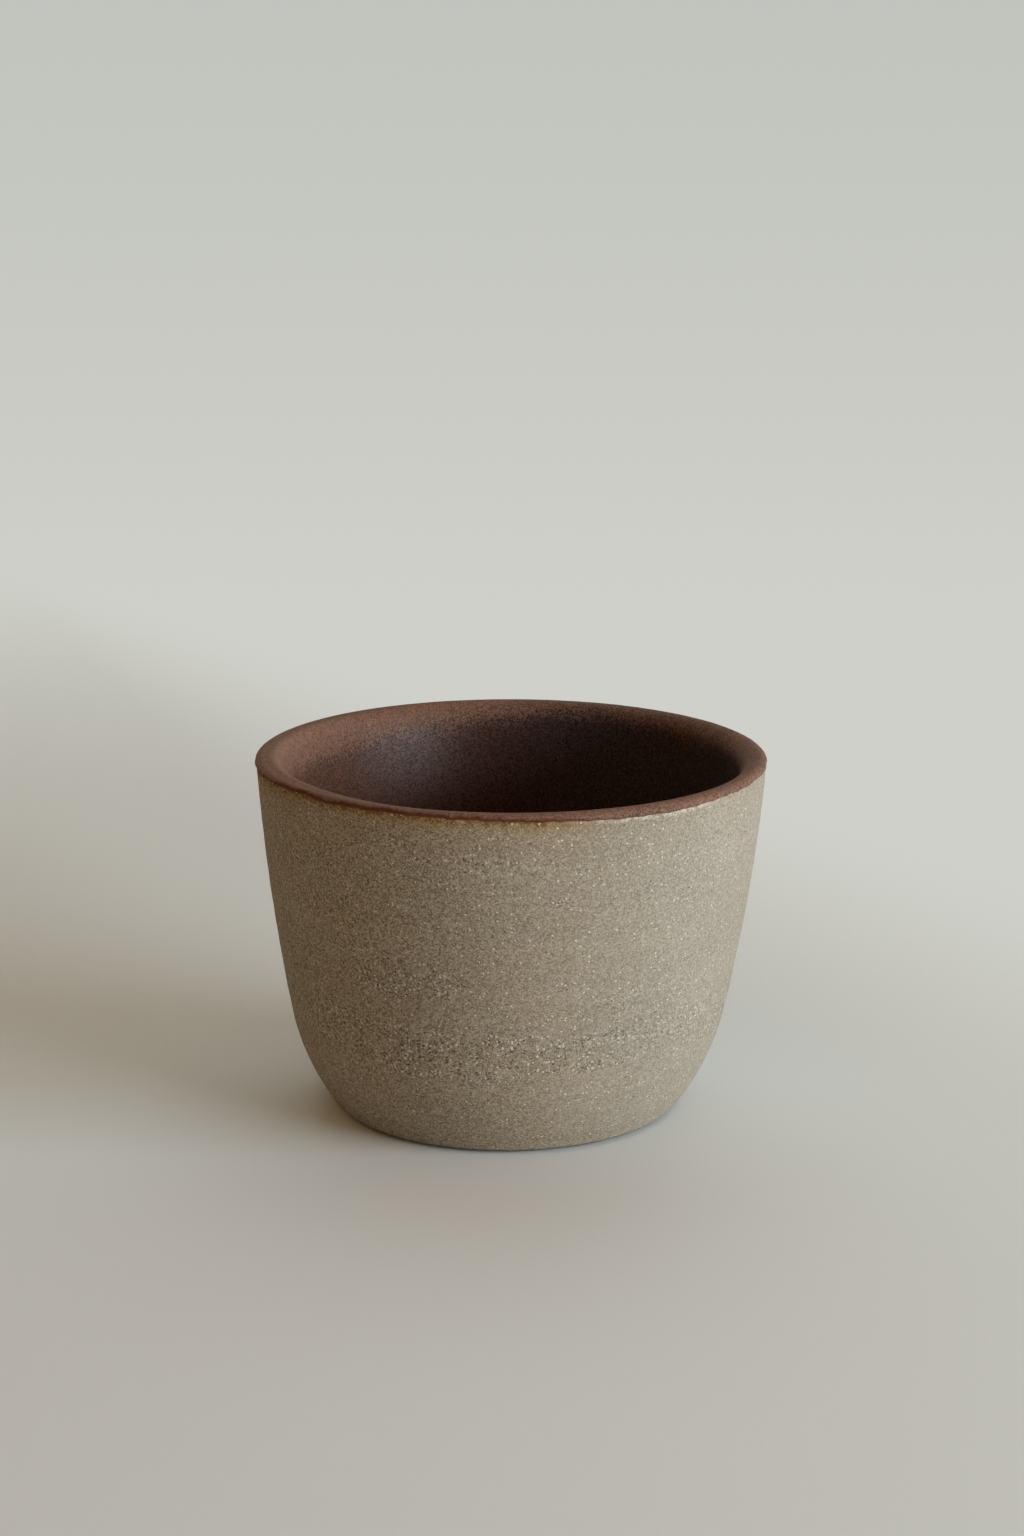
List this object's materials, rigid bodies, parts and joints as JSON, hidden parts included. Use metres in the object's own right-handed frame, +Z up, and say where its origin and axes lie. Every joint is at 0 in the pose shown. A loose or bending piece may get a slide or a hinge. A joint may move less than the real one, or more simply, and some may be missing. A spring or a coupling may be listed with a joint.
{
  "type": "handleless stoneware cup",
  "caption": "Handleless thrown stoneware cup with a rounded base, a bare sandy clay outside and a dark red-brown glaze inside that wraps over the rounded lip.",
  "frame": {"origin": "middle of the foot, on the table", "axes": "+Z up along the axis that the cup was thrown on"},
  "size_m": [0.0922, 0.0922, 0.065],
  "materials": {
    "bare_stoneware": "unglazed, matt, sandy, with grog and iron specks",
    "dark_lining_glaze": "satin, dark red-brown",
    "thin_rim_glaze": "thin, matt, red-brown to mauve"
  },
  "bodies": {
    "root": {"stoneware_body": "bare_stoneware", "glaze_lining": "dark_lining_glaze", "rim_glaze": "thin_rim_glaze"}
  },
  "joints": []
}
